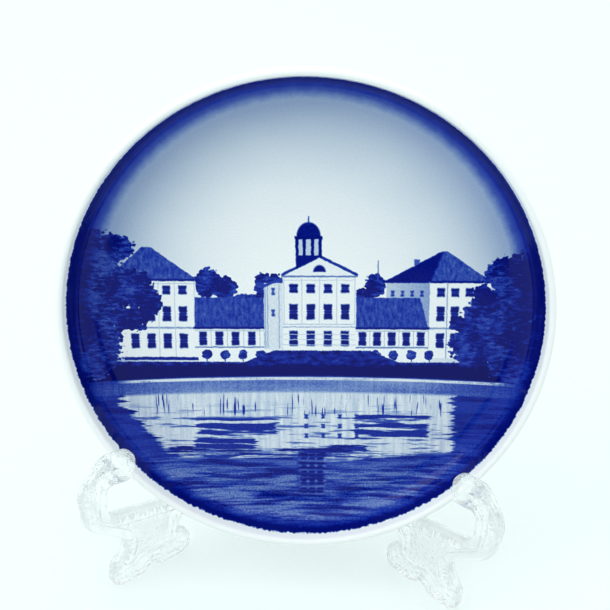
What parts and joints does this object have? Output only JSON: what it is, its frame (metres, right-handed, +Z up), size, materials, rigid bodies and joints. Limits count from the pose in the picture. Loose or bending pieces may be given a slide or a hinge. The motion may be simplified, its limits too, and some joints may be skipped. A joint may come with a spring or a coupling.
{
  "type": "souvenir plate",
  "caption": "Small round glazed porcelain display plate with a raised lip, leaning in a clear two-leaf hinged stand that folds flat.",
  "frame": {"origin": "middle of the assembly's box, on the table surface", "axes": "+Z up, the plate faces -Y, +X to the viewer's right"},
  "size_m": [0.08, 0.0372, 0.0863],
  "materials": {
    "plate": "glossy clear glaze over a blue painted picture",
    "stand": "clear moulded plastic, polished border and stippled web",
    "pin": "clear plastic rod"
  },
  "bodies": {
    "left_leaf": {"left_side_frame": "stand", "hinge_pin": "pin"},
    "right_leaf": {"right_side_frame": "stand"},
    "plate": {"souvenir_plate": "plate"}
  },
  "joints": [
    {"name": "plate_lift_off", "type": "slide", "parent": "left_leaf", "child": "plate", "axis": [0, -0.1191, 0.9929], "range_m": [0, 0.06]},
    {"name": "stand_fold", "type": "hinge", "parent": "left_leaf", "child": "right_leaf", "pos_m": [0, 0.01337, 0.02], "axis": [0, 0, 1], "range_deg": [-86, 0]}
  ],
  "couplings": [
    {"joint": "stand_fold", "follows": "plate_lift_off", "rad_per_m": -25}
  ]
}
